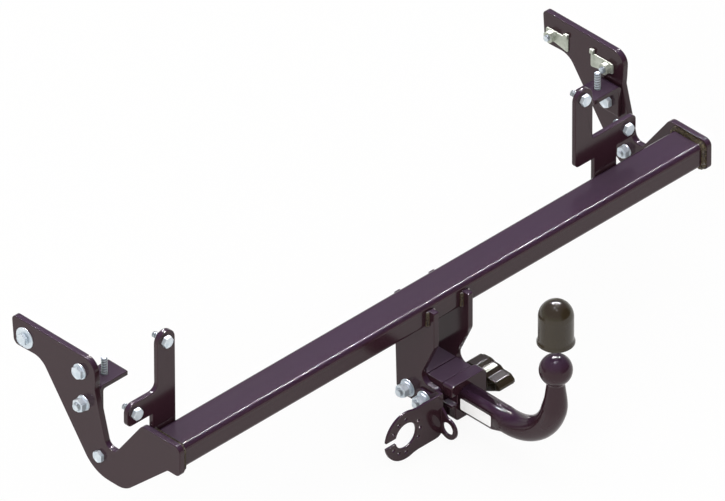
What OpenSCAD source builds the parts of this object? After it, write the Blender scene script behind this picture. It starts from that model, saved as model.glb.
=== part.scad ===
// Detachable towbar: crossbeam, side plates, receiver, swan neck and its lock.
// Millimetres. Origin at the centre of the coupling ball.
// +X along the crossbeam to the vehicle's right, -Y to the rear, +Z up.

/* [Crossbeam] */
// Section depth, front to rear
beam_depth = 60; // [40:100]
// Section height
beam_height = 40; // [30:80]
// Wall of the tube
beam_wall = 5; // [3:8]
// Outer corner radius
beam_corner_r = 8; // [5:12]
// Rear face, distance in front of the ball
beam_rear_y = 222.8; // [180:320]
// Top face above the ball centre
beam_top_z = 21; // [-40:80]
// Left end of the tube
beam_left_x = -539; // [-700:-400]
// Right end of the tube
beam_right_x = 530; // [400:700]

/* [Side plates] */
// Thickness
side_t = 10; // [6:14]
// Rear edge, behind the beam's rear face
side_rear_gap = 6.4; // [0:20]
// Top edge over the beam
side_top_z = 28; // [20:60]
// Foot under the beam
side_foot_z = -24; // [-60:-20]
// Lowest edge
side_low_z = -105.5; // [-140:-60]
// Valley floor between the beam and the arm
valley_z = -47; // [-80:-20]
// Lower edge, rear corner
side_low_y = 331; // [300:350]
// Radius of that corner
side_corner_r = 40; // [10:50]
// Lower bolt to the front end of the lower edge
side_low_front = 12.7; // [10:30]
// Radius around the lower bolt
side_low_r = 58; // [30:70]
// Lower end of the arm's front slope
side_nose_y = 503.3; // [480:520]
// Valley floor, front end
valley_front_y = 369; // [360:380]
// Valley floor, rear end
valley_rear_y = 349.7; // [330:358]
// Front end of the top edge
side_top_front_y = 295.1; // [290:310]
// Underside of the arm
arm_under_z = 42.5; // [20:70]
// Top of the left arm
arm_top_left_z = 89.9; // [70:140]
// Top of the right arm
arm_top_right_z = 96.7; // [70:140]
// Front end of the left arm
arm_front_left_y = 564; // [480:640]
// Front end of the right arm
arm_front_right_y = 557; // [480:640]
// Back of the left arm
arm_back_left_y = 393; // [385:400]
// Back of the right arm
arm_back_right_y = 388.4; // [380:395]
// Radius at the back of the left arm
arm_left_r = 22; // [10:26]
// Radius at the back of the right arm
arm_right_r = 20; // [10:26]

/* [Side plate bolts] */
// Small bolt size
m10 = 10; // [8:12]
// Large bolt size
m12 = 12; // [10:14]
// Hole clearance on the diameter
hole_clear = 1; // [0.5:2]
// Head width across corners, small bolt
m10_corner = 19.6; // [16:22]
// Head height, small bolt
m10_head_h = 6.4; // [5:8]
// Head width across corners, large bolt
m12_corner = 21.9; // [19:25]
// Head height, large bolt
m12_head_h = 7.5; // [6:9]
// Nut height, small bolt
m10_nut_h = 8.4; // [6:10]
// Nut height, large bolt
m12_nut_h = 10.8; // [8:12]
// Wide washer diameter
wide_washer_d = 34; // [26:44]
// Washer diameter, small bolt
m10_washer_d = 20; // [18:26]
// Washer diameter, large bolt
m12_washer_d = 25; // [22:30]
// Washer thickness
washer_t = 2.5; // [1.5:4]
// Front chassis bolt, Y
bolt1_y = 536.5; // [500:550]
// Front chassis bolt, Z
bolt1_z = 61; // [50:75]
// Rear chassis bolt, Y
bolt2_y = 421.5; // [410:450]
// Rear chassis bolt, Z
bolt2_z = 61; // [50:75]
// Bracket bolt, Y
bolt3_y = 415; // [405:422]
// Bracket bolt, Z
bolt3_z = 8; // [-5:20]
// Lower bolt, Y
bolt4_y = 382.5; // [370:400]
// Lower bolt, Z
bolt4_z = -69.8; // [-85:-60]
// Wider neck of studs and bolts inside a plate
shoulder = 0.8; // [0.4:0.9]
// Free thread past a nut
thread_free = 5; // [2:12]

/* [Nut strips] */
// Length
strip_l = 46; // [40:60]
// Height
strip_h = 20; // [18:26]
// Sheet thickness
strip_t = 2; // [1:3]
// Bolt to the near end of the strip
strip_end = 12; // [10:16]
// Welded nut, side of the square
strip_nut = 17; // [14:20]
// Welded nut, cut at its corners
strip_nut_cut = 4.5; // [1:6]
// Small bent tab, height above the strip
tab_h = 7; // [4:10]
// Small bent tab, length
tab_l = 7; // [4:10]

/* [Angle brackets] */
// Width along Y
angle_w = 40; // [30:60]
// Rear edge
angle_rear_y = 392; // [380:400]
// Thickness
angle_t = 8; // [5:10]
// Horizontal leg from the side plate
angle_leg = 57; // [45:80]
// Top of the horizontal leg
angle_top_z = 43; // [35:50]
// Lower end of the vertical leg
angle_low_z = -12; // [-25:-5]
// Outer bend radius
angle_bend_r = 10; // [4:14]
// Left stud axis from the side plate
stud_left = 29; // [25:40]
// Right stud axis from the side plate
stud_right = 31; // [25:40]
// Stud length above the leg
stud_l = 28; // [20:50]

/* [Upright plates] */
// Thickness
up_t = 8; // [5:12]
// Width of the strip
up_w = 35.2; // [28:45]
// Top end above the ball centre
up_top_z = 183.4; // [140:240]
// Lower edge of the side leg
up_leg_z = 50.5; // [40:70]
// Height of the side leg
up_leg_h = 37; // [28:45]
// Lower end on the beam's front face
up_low_z = -11; // [-20:0]
// Width of the stem
up_stem_w = 45.5; // [35:60]
// Left piece, beam's left end to the strip's right edge
up_left_off = 46.7; // [40:80]
// Left piece, reach of the side leg
up_left_reach = 96.5; // [80:120]
// Right piece, beam's right end to the strip's left edge
up_right_off = 206.3; // [180:230]
// Right piece, reach of the side leg
up_right_reach = 125; // [100:150]
// Right piece, stem from the strip's left edge
up_right_stem = 39.5; // [36:50]
// Free length of the bolts in front of the plate
up_bolt_free = 18; // [10:30]
// Fillet between strip and side leg, left piece
up_fillet = 12; // [4:20]

/* [Hanger plates] */
// Thickness
hang_t = 10; // [6:14]
// Gap between the two plates
hang_gap = 60; // [40:80]
// Rear edge at the top
hang_rear_y = 210; // [190:221]
// Top of the two ears
ear_top_z = 10.5; // [0:20]
// Front ear past the beam
ear_front = 9.8; // [6:14]
// Foot, rear edge
foot_rear_y = 202; // [196:208]
// Foot, top edge
foot_top_z = -123; // [-130:-115]
// Foot, lower edge
foot_low_z = -165; // [-180:-160]
// Foot, front edge
foot_front_y = 288; // [280:295]

/* [Receiver] */
// Rear face of the collar
collar_rear_y = 183; // [175:190]
// Length of the collar
collar_l = 20; // [15:24]
// Top of collar and housing
recv_top_z = -112.5; // [-120:-105]
// Underside of collar and housing
recv_low_z = -177; // [-185:-170]
// Lower end of the collar's left part
collar_left_z = -152; // [-160:-149]
// Right side of the collar, past the hanger plate
collar_right_x = 41; // [34:42]
// Corner radius on the collar's right
collar_right_r = 8; // [3:10]
// Left side of the collar's lower part
collar_step_x = -22; // [-26:-19]
// Notch in the collar, top
notch_top_z = -131; // [-134:-126]
// Notch in the collar, bottom
notch_low_z = -146; // [-149:-140]
// Depth of the notch from the left
notch_depth = 11; // [5:11.5]
// Front end of the housing
housing_front_y = 234; // [225:240]
// Gap before the spacer block
spacer_gap = 1; // [0.5:3]
// Front end of the spacer block
spacer_front_y = 282; // [260:286]
// Height of the neck axis
neck_z = -141.5; // [-150:-135]
// Liner wall
liner_wall = 2.5; // [1.5:4]
// Start of the liner, in front of the collar
liner_start = 10; // [8:14]
// Front stud axis
recv_bolt_front_y = 264; // [258:272]
// Rear stud axis
recv_bolt_rear_y = 226; // [222:230]
// Height of both stud axes
recv_bolt_z = -148; // [-152:-144]
// Stud diameter
recv_bolt_d = 12; // [10:14]
// Length of the stud inside the block
recv_bolt_in = 11; // [8:12]
// Washer diameter
recv_washer_d = 28; // [24:34]
// Nut, across corners
recv_nut_d = 21.9; // [19:26]
// Nut height
recv_nut_h = 14; // [10:20]

/* [Swan neck] */
// Ball diameter
ball_d = 50; // [49.5:50]
// Diameter under the ball
neck_top_d = 26; // [24:30]
// Bar diameter in the bend
bar_d = 39; // [34:44]
// Bend radius of the centreline
bend_r = 93.3; // [80:110]
// Part of the bend that still tapers, degrees
taper_deg = 12; // [8:20]
// Bar diameter where the bend starts
taper_d = 33.2; // [30:36]
// Flat-sided shank, width
shank_w = 33; // [28:38]
// Flat-sided shank, height
shank_h = 37.5; // [32:42]
// Upper corner radius of the shank
shank_r = 12; // [4:15]
// Lower corner radius of the shank
shank_low_r = 3; // [2:12]
// Rear end of the flat-sided shank
shank_rear_y = 116; // [105:140]
// Run-out of the flats towards the bend
shank_run = 19; // [10:22]
// Spigot diameter
spigot_d = 30; // [25:32]
// Spigot length inside the receiver
spigot_l = 64; // [40:70]
// Running clearance of all moving parts
run_clear = 0.3; // [0.3:0.6]

/* [Ball cap] */
// Outer diameter of the body
cap_d = 52.9; // [52:60]
// Rim diameter
cap_rim_d = 56.8; // [54:64]
// Wall
cap_wall = 1; // [0.8:3]
// Rim above the ball centre, as lifted off
cap_rim_z = 48.7; // [30:90]
// Rim to the centre of the dome
cap_body_l = 46.5; // [40:60]
// Height of the flared rim
cap_flare = 10; // [5:15]

/* [Handwheel and lock] */
// Turning axis, Y
wheel_y = 206.6; // [200:210]
// Turning axis, Z
wheel_z = -157; // [-160:-154]
// Start of the lobes
wheel_x0 = 56; // [50:70]
// Outer end of the lobes
wheel_x1 = 90; // [80:110]
// Hub diameter
hub_d = 22; // [18:24]
// Boss of the housing, length past the block
boss_l = 12; // [8:14]
// Boss diameter
boss_d = 24; // [20:26]
// Spindle diameter
spindle_d = 10; // [8:12]
// Inner end of the spindle
spindle_x0 = -18; // [-24:-10]
// Lock cylinder diameter
lock_d = 16; // [12:20]
// Grey lock insert, width
insert_w = 9; // [6:12]
// Grey lock insert, length
insert_l = 24; // [15:30]
// Grey lock insert, top from the axis
insert_top = 17.6; // [16:18]
// Grey lock insert, bed from the axis
insert_bed = 12; // [10:14]

/* [Socket bracket] */
// Sheet thickness
sheet_t = 4; // [2:5]
// Rear face of the socket plate
socket_rear_y = 190.8; // [185:196]
// Centre of the socket hole, X
socket_x = -116; // [-150:-100]
// Centre of the socket hole, Z
socket_z = -158; // [-175:-140]
// Radius of the socket hole
socket_hole_r = 21; // [18:28]
// Outer radius of the ring
socket_out_r = 41; // [36:50]
// Radius of the hole circle
socket_pcr = 29; // [26:32]
// Small hole diameter
socket_hole_d = 5.5; // [4:6.5]
// Bracket arm beside the ring, half height
arm_half = 37; // [34:39]
// Bracket arm, start from the socket's centre
arm_start = 24; // [20:30]
// Cable slot width
socket_slot = 10; // [6:14]
// Eye centre, Y
eye_y = 178.2; // [170:186]
// Eye centre, Z
eye_z = -176.3; // [-190:-165]
// Eye hole radius
eye_r = 10.5; // [8:14]
// Eye outer radius
eye_out_r = 18; // [15:24]
// Where the leg's upper edge starts down to its pad, Y
leg_neck_y = 200; // [197:206]
// Upper rear corner of the leg's pad, Y
pad_rear_y = 214; // [210:220]
// Front of the leg's pad, Y
pad_front_y = 243; // [238:250]
// Top of the leg's pad, Z
pad_top_z = -133; // [-140:-128]
// Underside of the leg's pad, Z
pad_low_z = -166; // [-175:-160]
// Radius of the pad's front corners
pad_r = 10; // [4:14]
// Lower rear corner of the leg's pad, Y
pad_low_y = 206; // [200:212]
// Foot of the leg below its pad, Y
leg_heel_y = 196; // [193:200]
// Foot of the leg below the socket's centre
leg_heel = 30; // [25:37]
// Top of the eye's web, Z
web_top_z = -145; // [-150:-140]
// Upper rear corner of the eye's web, Y
web_y = 189.8; // [186:190]
// Fall of the web's top edge
web_drop = 0.7; // [0:3]
// Waist of the eye's web, Y
web_waist_y = 181.6; // [178:186]
// Waist of the eye's web, Z
web_waist_z = -155; // [-160:-150]
// Where the web meets the eye's ring, Y
web_eye_y = 176; // [172:180]
// Height of that point above the eye's centre
web_eye_up = 14; // [8:17]
// Foot of the web in front of the eye's centre
web_low_y = 4; // [0:8]
// Lower front corner of the eye's web, Z
web_low_z = -190; // [-192:-186]
// Lap of the web into the leg
web_lap = 2; // [1:3]
// Radius of the plate's lower inner corner
plate_low_r = 14; // [6:20]
// Length over which the arm runs into the ring
arm_blend = 10; // [6:14]

/* [Hidden] */
fn_bore = 64;
fn_bolt = 32;
e = 0.01;
beam_front_y = beam_rear_y + beam_depth;
beam_low_z = beam_top_z - beam_height;
side_rear_y = beam_rear_y - side_rear_gap;
recv_half = hang_gap / 2;
collar_front_y = collar_rear_y + collar_l;
liner_y = collar_front_y + liner_start;
bore_r = spigot_d / 2 + run_clear;
ball_r = ball_d / 2;
up_left_x = beam_left_x + up_left_off;
up_right_x = beam_right_x - up_right_off;
bend_z = neck_z + bend_r;
cap_dome_z = cap_rim_z + cap_body_l;
wheel_clear_x = recv_half + boss_l + run_clear;
steel = [0.34, 0.29, 0.33];
zinc = [0.78, 0.80, 0.84];
dull = [0.62, 0.66, 0.62];
plastic = [0.22, 0.22, 0.19];

// Outline helpers: corner list [x, y, r] to points
function unit(v) = v / norm(v);
function fil(a, p, b, r, n) = let (
    u = unit(a - p), v = unit(b - p), h = acos(u * v) / 2,
    c = p + unit(u + v) * (r / sin(h)), s = p + u * (r / tan(h)), t = p + v * (r / tan(h)),
    a0 = atan2(s[1] - c[1], s[0] - c[0]), a1 = atan2(t[1] - c[1], t[0] - c[0]),
    d0 = a1 - a0, d = d0 > 180 ? d0 - 360 : (d0 < -180 ? d0 + 360 : d0))
    [for (i = [0:n]) c + r * [cos(a0 + d * i / n), sin(a0 + d * i / n)]];
function xy(q) = [q[0], q[1]];
function rpoly(q, n = 6) = [for (i = [0:len(q) - 1]) let (k = len(q),
    a = q[(i + k - 1) % k], p = q[i], b = q[(i + 1) % k])
    each (p[2] > 0 ? fil(xy(a), xy(p), xy(b), p[2], n) : [xy(p)])];

module plate_yz(x0, t) {
  translate([x0, 0, 0]) rotate([90, 0, 90]) linear_extrude(height = t) children();
}
module plate_xz(y0, t) {
  translate([0, y0 + t, 0]) rotate([90, 0, 0]) linear_extrude(height = t) children();
}
// Cylinder along X from x0 over length l
module cyl_x(x0, l, y, z, d, fn = 32) {
  translate([x0, y, z]) rotate([0, 90, 0]) cylinder(h = l, d = d, $fn = fn);
}
module cyl_y(y0, l, x, z, d, fn = 32) {
  translate([x, y0, z]) rotate([-90, 0, 0]) cylinder(h = l, d = d, $fn = fn);
}

// Tube along X with a round-cornered section
module crossbeam() {
  color(steel) difference() {
    plate_yz(beam_left_x, beam_right_x - beam_left_x) polygon(rpoly([
      [beam_rear_y, beam_low_z, beam_corner_r], [beam_front_y, beam_low_z, beam_corner_r],
      [beam_front_y, beam_top_z, beam_corner_r], [beam_rear_y, beam_top_z, beam_corner_r]]));
    plate_yz(beam_left_x - 1, beam_right_x - beam_left_x + 2) polygon(rpoly([
      [beam_rear_y + beam_wall, beam_low_z + beam_wall, beam_corner_r - beam_wall],
      [beam_front_y - beam_wall, beam_low_z + beam_wall, beam_corner_r - beam_wall],
      [beam_front_y - beam_wall, beam_top_z - beam_wall, beam_corner_r - beam_wall],
      [beam_rear_y + beam_wall, beam_top_z - beam_wall, beam_corner_r - beam_wall]], 3));
  }
}

// Outline of a side plate in Y, Z; top and front differ left and right
function side_outline(top, front, back, rr) = rpoly([
  [side_rear_y, side_foot_z, 9], [242, side_foot_z, 8], [side_low_y, side_low_z, side_corner_r],
  [bolt4_y + side_low_front, side_low_z, side_low_r], [side_nose_y, arm_under_z, 30],
  [front - 4, arm_under_z - 2, 10],
  [front, top, 8], [back, top, rr], [390.4, 56, 20], [391.8, 42, 0],
  [valley_front_y, valley_z, 12], [valley_rear_y, valley_z, 7],
  [side_top_front_y, side_top_z, 14],
  [side_rear_y, side_top_z, 11]], 8);
module side_holes(x0) {
  for (h = [[bolt1_y, bolt1_z, m10], [bolt2_y, bolt2_z, m10],
            [bolt3_y, bolt3_z, m12], [bolt4_y, bolt4_z, m10]])
    cyl_x(x0 - 1, side_t + 2, h[0], h[1], h[2] + hole_clear, fn_bore);
}
module side_plate_left() {
  color(steel) difference() {
    plate_yz(beam_left_x - side_t, side_t)
      polygon(side_outline(arm_top_left_z, arm_front_left_y, arm_back_left_y, arm_left_r));
    side_holes(beam_left_x - side_t);
  }
}
module side_plate_right() {
  color(steel) difference() {
    plate_yz(beam_right_x, side_t)
      polygon(side_outline(arm_top_right_z, arm_front_right_y, arm_back_right_y, arm_right_r));
    side_holes(beam_right_x);
  }
}

// Bent angle on the inner face; s = 1 reaches to +X, s = -1 to -X
module angle_bracket(x0, s, off) {
  p = [[0, angle_low_z, 3], [angle_t, angle_low_z, 3], [angle_t, angle_top_z - angle_t, 4],
       [angle_leg, angle_top_z - angle_t, 0], [angle_leg, angle_top_z, 1.5],
       [0, angle_top_z, angle_bend_r]];
  color(steel) difference() {
    plate_xz(angle_rear_y, angle_w)
      polygon([for (q = rpoly(p)) [x0 + s * q[0], q[1]]]);
    translate([x0 + s * off, angle_rear_y + angle_w / 2, angle_top_z - angle_t - 1])
      cylinder(h = angle_t + 2, d = m10 + hole_clear, $fn = fn_bore);
    cyl_x(x0 - (s > 0 ? 1 : angle_t + 1), angle_t + 2, bolt3_y, bolt3_z,
      m12 + hole_clear, fn_bore);
  }
}
module angle_bracket_left() { angle_bracket(beam_left_x, 1, stud_left); }
module angle_bracket_right() { angle_bracket(beam_right_x, -1, stud_right); }

// Stud with its head under the horizontal leg
module bracket_stud(x) {
  color(zinc) translate([x, angle_rear_y + angle_w / 2, 0]) {
    translate([0, 0, angle_top_z - angle_t - m10_head_h])
      cylinder(h = m10_head_h, d = m10_corner, $fn = 6);
    translate([0, 0, angle_top_z - angle_t - e])
      cylinder(h = angle_t + e, d = m10 + shoulder, $fn = fn_bolt);
    translate([0, 0, angle_top_z - e])
      cylinder(h = stud_l - 1.5 + e, d = m10, $fn = fn_bolt);
    translate([0, 0, angle_top_z + stud_l - 1.5])
      cylinder(h = 1.5, d1 = m10, d2 = m10 - 3, $fn = fn_bolt);
  }
}
module bracket_stud_left() { bracket_stud(beam_left_x + stud_left); }
module bracket_stud_right() { bracket_stud(beam_right_x - stud_right); }

// Hex bolt along X. Head seat at x, shank runs towards s, tip chamfered
module bolt_x(x, s, y, z, d, corner, hh, l) {
  color(zinc) {
    cyl_x(s > 0 ? x - hh : x, hh, y, z, corner, 6);
    cyl_x(s > 0 ? x - e : x - l + 1, l - 1 + e, y, z, d, fn_bolt);
    translate([x + s * (l - 1), y, z]) rotate([0, s * 90, 0])
      cylinder(h = 1, d1 = d, d2 = d - 2, $fn = fn_bolt);
  }
}
// Hex nut with its washer flange, seat at x, body towards s
module nut_x(x, s, y, z, d, corner, hh, wd) {
  color(zinc) difference() {
    union() {
      cyl_x(s > 0 ? x : x - washer_t, washer_t, y, z, wd);
      cyl_x(s > 0 ? x + washer_t - e : x - washer_t - hh, hh + e, y, z, corner, 6);
    }
    cyl_x(x - 40, 80, y, z, d + 0.2);
  }
}
strip_bolt_l = washer_t + side_t + strip_t + m10_nut_h + thread_free;
module chassis_bolt_front_left() {
  bolt_x(beam_left_x - side_t - washer_t, 1, bolt1_y, bolt1_z, m10, m10_corner,
    m10_head_h, strip_bolt_l);
}
module chassis_bolt_front_right() {
  bolt_x(beam_right_x + side_t + washer_t, -1, bolt1_y, bolt1_z, m10, m10_corner,
    m10_head_h, strip_bolt_l);
}
// The rear chassis bolts carry their washer face on the head
module chassis_bolt_rear(x, s) {
  bolt_x(x - s * washer_t, s, bolt2_y, bolt2_z, m10, m10_corner + 2, m10_head_h,
    strip_bolt_l);
  color(zinc) cyl_x(s > 0 ? x - washer_t - e : x, washer_t + e, bolt2_y, bolt2_z,
    m12_washer_d);
}
module chassis_bolt_rear_left() { chassis_bolt_rear(beam_left_x - side_t, 1); }
module chassis_bolt_rear_right() { chassis_bolt_rear(beam_right_x + side_t, -1); }
module wide_washer(x) {
  color(zinc) difference() {
    cyl_x(x, washer_t, bolt1_y, bolt1_z, wide_washer_d, 48);
    cyl_x(x - 1, washer_t + 2, bolt1_y, bolt1_z, m10 + hole_clear, fn_bolt);
  }
}
module chassis_washer_left() { wide_washer(beam_left_x - side_t - washer_t); }
module chassis_washer_right() { wide_washer(beam_right_x + side_t); }

// Nut strip: sheet, welded square nut and a bent tab; dir = 1 runs forward
module nut_strip(x, s, y, z, dir) {
  far = dir * (strip_l - strip_end);
  near = -dir * strip_end;
  color(dull) difference() {
    union() {
      plate_yz(s > 0 ? x : x - strip_t, strip_t) polygon([for (q = rpoly([
        [near, -strip_h / 2 + 3, 3], [near, strip_h / 2, 3], [far, strip_h / 2, 2],
        [far, -strip_h / 2 - 5, 3], [dir * 10, -strip_h / 2, 0]])) [y + q[0], z + q[1]]]);
      plate_yz(s > 0 ? x + strip_t - e : x - strip_t - m10_nut_h, m10_nut_h + e)
        polygon([for (i = [0:3]) for (q = [[1, -1], [1, 1]]) let (
          u = strip_nut / 2, v = (u - strip_nut_cut) * q[1],
          w = [u * cos(90 * i) - v * sin(90 * i), u * sin(90 * i) + v * cos(90 * i)])
          [y + w[0], z + w[1]]]);
      translate([s > 0 ? x : x - strip_t - 3, y + far - (dir > 0 ? tab_l : 0),
        z + strip_h / 2 - e]) cube([strip_t + 3, tab_l, tab_h]);
    }
    cyl_x(x - 30, 60, y, z, m10 + 0.2, fn_bolt);
  }
}
module nut_strip_front_left() { nut_strip(beam_left_x, 1, bolt1_y, bolt1_z, -1); }
module nut_strip_rear_left() { nut_strip(beam_left_x, 1, bolt2_y, bolt2_z, 1); }
module nut_strip_front_right() { nut_strip(beam_right_x, -1, bolt1_y, bolt1_z, -1); }
module nut_strip_rear_right() { nut_strip(beam_right_x, -1, bolt2_y, bolt2_z, 1); }

bracket_bolt_l = angle_t + side_t + washer_t + m12_nut_h + thread_free;
module bracket_bolt_left() {
  bolt_x(beam_left_x + angle_t, -1, bolt3_y, bolt3_z, m12, m12_corner, m12_head_h,
    bracket_bolt_l);
}
module bracket_bolt_right() {
  bolt_x(beam_right_x - angle_t, 1, bolt3_y, bolt3_z, m12, m12_corner, m12_head_h,
    bracket_bolt_l);
}
module bracket_nut_left() {
  nut_x(beam_left_x - side_t, -1, bolt3_y, bolt3_z, m12, m12_corner, m12_nut_h,
    m12_washer_d);
}
module bracket_nut_right() {
  nut_x(beam_right_x + side_t, 1, bolt3_y, bolt3_z, m12, m12_corner, m12_nut_h,
    m12_washer_d);
}
lower_bolt_l = side_t + washer_t + m10_nut_h + thread_free;
module lower_bolt_left() {
  bolt_x(beam_left_x - side_t, 1, bolt4_y, bolt4_z, m10, m10_corner, m10_head_h,
    lower_bolt_l);
}
module lower_bolt_right() {
  bolt_x(beam_right_x + side_t, -1, bolt4_y, bolt4_z, m10, m10_corner, m10_head_h,
    lower_bolt_l);
}
module lower_nut_left() {
  nut_x(beam_left_x, 1, bolt4_y, bolt4_z, m10, m10_corner, m10_nut_h, m10_washer_d);
}
module lower_nut_right() {
  nut_x(beam_right_x, -1, bolt4_y, bolt4_z, m10, m10_corner, m10_nut_h, m10_washer_d);
}

// Upright plates stand on the beam's front face
up_r = up_w / 2 - 0.1;
up_bolt_z = up_top_z - up_w / 2;
up_side_z = up_leg_z + up_leg_h / 2;
up_left_top_x = up_left_x - up_w / 2;
up_left_side_x = up_left_x - up_left_reach + up_w / 2;
up_right_top_x = up_right_x + up_w / 2;
up_right_side_x = up_right_x + up_right_reach - up_w / 2;
module up_holes(p) {
  for (q = p) cyl_y(beam_front_y - 1, up_t + 2, q[0], q[1], m10 + hole_clear, fn_bore);
}
module upright_plate_left() {
  color(steel) difference() {
    plate_xz(beam_front_y, up_t) polygon(rpoly([
      [up_left_x, up_low_z, 0], [up_left_x, up_top_z, up_r],
      [up_left_x - up_w, up_top_z, up_r], [up_left_x - up_w, up_leg_z + up_leg_h, up_fillet],
      [up_left_x - up_left_reach, up_leg_z + up_leg_h, 14],
      [up_left_x - up_left_reach, up_leg_z, 9], [up_left_x - up_stem_w, up_leg_z, 2],
      [up_left_x - up_stem_w, up_low_z, 0]]));
    up_holes([[up_left_top_x, up_bolt_z], [up_left_side_x, up_side_z]]);
  }
}
module upright_plate_right() {
  color(steel) difference() {
    plate_xz(beam_front_y, up_t) polygon(rpoly([
      [up_right_x, up_leg_z, 7], [up_right_x + up_right_stem, up_leg_z, 0],
      [up_right_x + up_right_stem, up_low_z, 0],
      [up_right_x + up_right_stem + up_stem_w, up_low_z, 0],
      [up_right_x + up_right_stem + up_stem_w, up_leg_z, 2],
      [up_right_x + up_right_reach, up_leg_z, 14],
      [up_right_x + up_right_reach, up_leg_z + up_leg_h, 9],
      [up_right_x + up_w, up_leg_z + up_leg_h, 3], [up_right_x + up_w, up_top_z, up_r],
      [up_right_x, up_top_z, up_r]]));
    up_holes([[up_right_top_x, up_bolt_z], [up_right_side_x, up_side_z]]);
  }
}
module upright_bolt(x, z) {
  color(zinc) {
    cyl_y(beam_front_y - m10_head_h, m10_head_h, x, z, m10_corner, 6);
    cyl_y(beam_front_y - e, up_t + e, x, z, m10 + shoulder, fn_bolt);
    cyl_y(beam_front_y + up_t - e, up_bolt_free - 1 + e, x, z, m10, fn_bolt);
    translate([x, beam_front_y + up_t + up_bolt_free - 1, z]) rotate([-90, 0, 0])
      cylinder(h = 1, d1 = m10, d2 = m10 - 2, $fn = fn_bolt);
  }
}
module upright_bolt_top_left() { upright_bolt(up_left_top_x, up_bolt_z); }
module upright_bolt_side_left() { upright_bolt(up_left_side_x, up_side_z); }
module upright_bolt_top_right() { upright_bolt(up_right_top_x, up_bolt_z); }
module upright_bolt_side_right() { upright_bolt(up_right_side_x, up_side_z); }

// Hanger plates: slotted over the beam, with a foot for the receiver
module hanger(x0) {
  plate_yz(x0, hang_t) polygon(rpoly([
    [hang_rear_y, ear_top_z, 2], [hang_rear_y, -51.3, 20], [242.9, foot_top_z, 14],
    [foot_rear_y, foot_top_z, 9], [foot_rear_y, foot_low_z, 4],
    [foot_front_y - 14, foot_low_z, 4], [foot_front_y, foot_low_z + 10, 3],
    [beam_front_y + ear_front, ear_top_z, 2.5], [beam_front_y, ear_top_z, 0],
    [beam_front_y, beam_low_z, 0], [beam_rear_y, beam_low_z, 0],
    [beam_rear_y, ear_top_z, 0]]));
}
module hang_holes(x0, d) {
  for (y = [recv_bolt_front_y, recv_bolt_rear_y])
    cyl_x(x0 - 1, hang_t + 2, y, recv_bolt_z, d + hole_clear, fn_bore);
}
module hanger_plate_left() {
  color(steel) difference() {
    hanger(-recv_half - hang_t);
    hang_holes(-recv_half - hang_t, recv_bolt_d);
  }
}
module hanger_plate_right() {
  color(steel) difference() {
    hanger(recv_half);
    hang_holes(recv_half, m10);
    cyl_x(recv_half - 1, hang_t + 2, wheel_y, wheel_z, boss_d + hole_clear, fn_bore);
  }
}

// Receiver: block, collar, liner; bored for the spigot
module recv_bolt_bores() {
  for (y = [recv_bolt_front_y, recv_bolt_rear_y]) {
    cyl_x(-recv_half - 1, recv_bolt_in + 1, y, recv_bolt_z, recv_bolt_d, fn_bore);
    cyl_x(recv_half - recv_bolt_in, recv_bolt_in + 1, y, recv_bolt_z, m10, fn_bore);
  }
}
module spacer_block() {
  color(steel) difference() {
    plate_yz(-recv_half, hang_gap) polygon(rpoly([
      [housing_front_y + spacer_gap, recv_top_z, 1], [spacer_front_y, recv_top_z, 6],
      [spacer_front_y, foot_low_z + 2, 4], [housing_front_y + spacer_gap, foot_low_z + 2, 1]]));
    recv_bolt_bores();
    cyl_y(housing_front_y, 16, 0, neck_z, 2 * bore_r + 2, fn_bore);
  }
}
module receiver_housing() {
  color(steel) difference() {
    union() {
      plate_yz(-recv_half, hang_gap) polygon(rpoly([
        [collar_front_y, recv_top_z, 0], [housing_front_y, recv_top_z, 1],
        [housing_front_y, recv_low_z, 8], [collar_front_y, recv_low_z, 0]]));
      cyl_x(recv_half - e, boss_l + e, wheel_y, wheel_z, boss_d, fn_bore);
    }
    cyl_y(collar_front_y - 1, housing_front_y - collar_front_y + 2, 0, neck_z,
      2 * bore_r, fn_bore);
    cyl_y(liner_y, housing_front_y - liner_y + 1, 0, neck_z,
      2 * (bore_r + liner_wall), fn_bore);
    cyl_x(spindle_x0 - 3, 80, wheel_y, wheel_z, spindle_d + 2 * run_clear, fn_bore);
    recv_bolt_bores();
  }
}
module receiver_collar() {
  color(steel) difference() {
    plate_xz(collar_rear_y, collar_l) polygon(rpoly([
      [-recv_half, recv_top_z, 5], [collar_right_x, recv_top_z, collar_right_r],
      [collar_right_x, recv_low_z, collar_right_r], [collar_step_x, recv_low_z, 6],
      [collar_step_x, collar_left_z, 1], [-recv_half, collar_left_z, 3],
      [-recv_half, notch_low_z, 1], [-recv_half + notch_depth, notch_low_z, 1],
      [-recv_half + notch_depth, notch_top_z, 1], [-recv_half, notch_top_z, 1]]));
    cyl_y(collar_rear_y - 1, collar_l + 2, 0, neck_z, 2 * bore_r, fn_bore);
    cyl_x(spindle_x0 - 3, 80, wheel_y, wheel_z, spindle_d + 2 * run_clear, fn_bore);
    // The right wing ends at the hanger's foot and leaves the boss free
    translate([recv_half, foot_rear_y, recv_low_z - 1])
      cube([collar_right_x - recv_half + 1, 5, recv_top_z - recv_low_z + 2]);
    cyl_x(recv_half, collar_right_x - recv_half + 1, wheel_y, wheel_z,
      boss_d + hole_clear, fn_bore);
  }
}
module receiver_liner() {
  color(dull) difference() {
    cyl_y(liner_y, housing_front_y - liner_y, 0, neck_z,
      2 * (bore_r + liner_wall), fn_bore);
    cyl_y(liner_y - 1, housing_front_y - liner_y + 2, 0, neck_z, 2 * bore_r, fn_bore);
  }
}

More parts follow.
